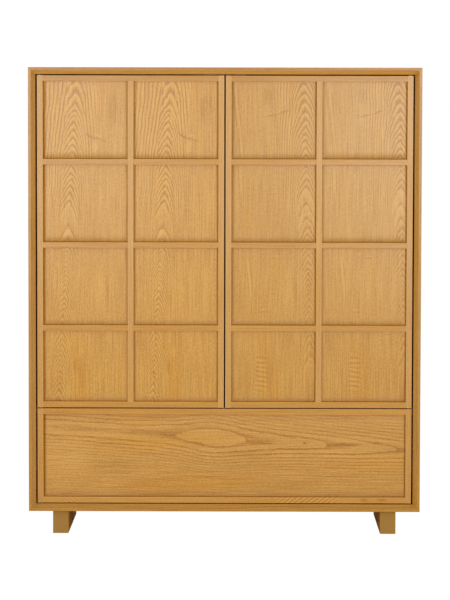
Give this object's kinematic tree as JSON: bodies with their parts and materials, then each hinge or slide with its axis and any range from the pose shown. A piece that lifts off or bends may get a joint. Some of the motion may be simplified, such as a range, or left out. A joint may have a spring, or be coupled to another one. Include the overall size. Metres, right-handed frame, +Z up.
{
  "type": "mizuya kitchen cabinet",
  "caption": "Tall wooden kitchen cabinet on foot rails: lattice doors on hidden pivots over shelves, and a wide drawer on ball runners.",
  "frame": {"origin": "on the floor, under the middle of the case", "axes": "+X to the right seen from the front, +Y from the front to the back, +Z up"},
  "size_m": [1.2, 0.45, 1.43],
  "materials": {
    "case_veneer": "satin lacquered ash veneer, honey colour",
    "foot_veneer": "satin lacquered ash, honey colour",
    "door_veneer": "satin lacquered slip-matched cathedral veneer",
    "drawer_veneer": "satin lacquered veneer, grain lying across",
    "frame_wood": "satin lacquered straight-grained ash",
    "inner_wood": "clear-sealed plywood",
    "drawer_box_wood": "clear-sealed paulownia",
    "latch_plastic": "matt grey",
    "plunger_plastic": "matt light grey",
    "bush_plastic": "natural nylon",
    "strike_steel": "zinc plated",
    "hinge_steel": "black zinc plated",
    "runner_steel": "black zinc plated",
    "pin_brass": "brushed",
    "screw_steel": "yellow zinc plated"
  },
  "bodies": {
    "case": {"back_panel": "inner_wood", "back_panel_screws": "screw_steel", "case_bottom": "case_veneer", "case_side_left": "case_veneer", "case_side_right": "case_veneer", "case_top": "case_veneer", "centre_partition": "inner_wood", "drawer_divider": "inner_wood", "foot_rail_left": "foot_veneer", "foot_rail_right": "foot_veneer", "foot_rail_screws": "screw_steel", "hardware_screws": "screw_steel", "latch_housings": "latch_plastic", "mitre_splines": "inner_wood", "pivot_pins": "hinge_steel", "pivot_plates": "hinge_steel", "runner_case_members": "runner_steel", "shelf_left_lower": "inner_wood", "shelf_left_upper": "inner_wood", "shelf_pins": "pin_brass", "shelf_right_lower": "inner_wood", "shelf_right_upper": "inner_wood"},
    "left_door": {"left_door_bottom_rail": "frame_wood", "left_door_bushes": "bush_plastic", "left_door_core": "door_veneer", "left_door_hinge_stile": "frame_wood", "left_door_lattice_crossbars": "frame_wood", "left_door_lattice_upright": "frame_wood", "left_door_meeting_stile": "frame_wood", "left_door_strike": "strike_steel", "left_door_top_rail": "frame_wood"},
    "right_door": {"right_door_bottom_rail": "frame_wood", "right_door_bushes": "bush_plastic", "right_door_core": "door_veneer", "right_door_hinge_stile": "frame_wood", "right_door_lattice_crossbars": "frame_wood", "right_door_lattice_upright": "frame_wood", "right_door_meeting_stile": "frame_wood", "right_door_strike": "strike_steel", "right_door_top_rail": "frame_wood"},
    "drawer": {"drawer_bottom_rail": "frame_wood", "drawer_box_back": "drawer_box_wood", "drawer_box_bottom": "drawer_box_wood", "drawer_box_front": "drawer_box_wood", "drawer_box_left_side": "drawer_box_wood", "drawer_box_right_side": "drawer_box_wood", "drawer_front_core": "drawer_veneer", "drawer_front_screws": "screw_steel", "drawer_left_stile": "frame_wood", "drawer_right_stile": "frame_wood", "drawer_runner_screws": "screw_steel", "drawer_strike": "strike_steel", "drawer_top_rail": "frame_wood", "runner_drawer_members": "runner_steel"},
    "left_door_latch": {"left_door_latch_plunger": "plunger_plastic"},
    "right_door_latch": {"right_door_latch_plunger": "plunger_plastic"},
    "drawer_latch": {"drawer_latch_plunger": "plunger_plastic"},
    "runner_middles": {"runner_middle_members": "runner_steel"},
    "runner_outer_cages": {"runner_outer_cages": "runner_steel"},
    "runner_inner_cages": {"runner_inner_cages": "runner_steel"}
  },
  "joints": [
    {"name": "left_door_hinge", "type": "hinge", "parent": "case", "child": "left_door", "pos_m": [-0.5655, -0.194, 0.8969], "axis": [0, 0, -1], "range_deg": [0, 105]},
    {"name": "right_door_hinge", "type": "hinge", "parent": "case", "child": "right_door", "pos_m": [0.5655, -0.194, 0.8969], "axis": [0, 0, 1], "range_deg": [0, 105]},
    {"name": "drawer_slide", "type": "slide", "parent": "case", "child": "drawer", "axis": [0, -1, 0], "range_m": [0, 0.36]},
    {"name": "runner_middle_slide", "type": "slide", "parent": "case", "child": "runner_middles", "axis": [0, -1, 0], "range_m": [0, 0.18]},
    {"name": "runner_outer_cage_slide", "type": "slide", "parent": "case", "child": "runner_outer_cages", "axis": [0, -1, 0], "range_m": [0, 0.09]},
    {"name": "runner_inner_cage_slide", "type": "slide", "parent": "case", "child": "runner_inner_cages", "axis": [0, -1, 0], "range_m": [0, 0.27]},
    {"name": "left_door_latch_push", "type": "slide", "parent": "case", "child": "left_door_latch", "axis": [0, 1, 0], "range_m": [0, 0.003], "stiffness_N_per_m": 600},
    {"name": "right_door_latch_push", "type": "slide", "parent": "case", "child": "right_door_latch", "axis": [0, 1, 0], "range_m": [0, 0.003], "stiffness_N_per_m": 600},
    {"name": "drawer_latch_push", "type": "slide", "parent": "case", "child": "drawer_latch", "axis": [0, 1, 0], "range_m": [0, 0.003], "stiffness_N_per_m": 600}
  ],
  "couplings": [
    {"joint": "runner_middle_slide", "follows": "drawer_slide", "ratio": 0.5},
    {"joint": "runner_outer_cage_slide", "follows": "drawer_slide", "ratio": 0.25},
    {"joint": "runner_inner_cage_slide", "follows": "drawer_slide", "ratio": 0.75}
  ]
}
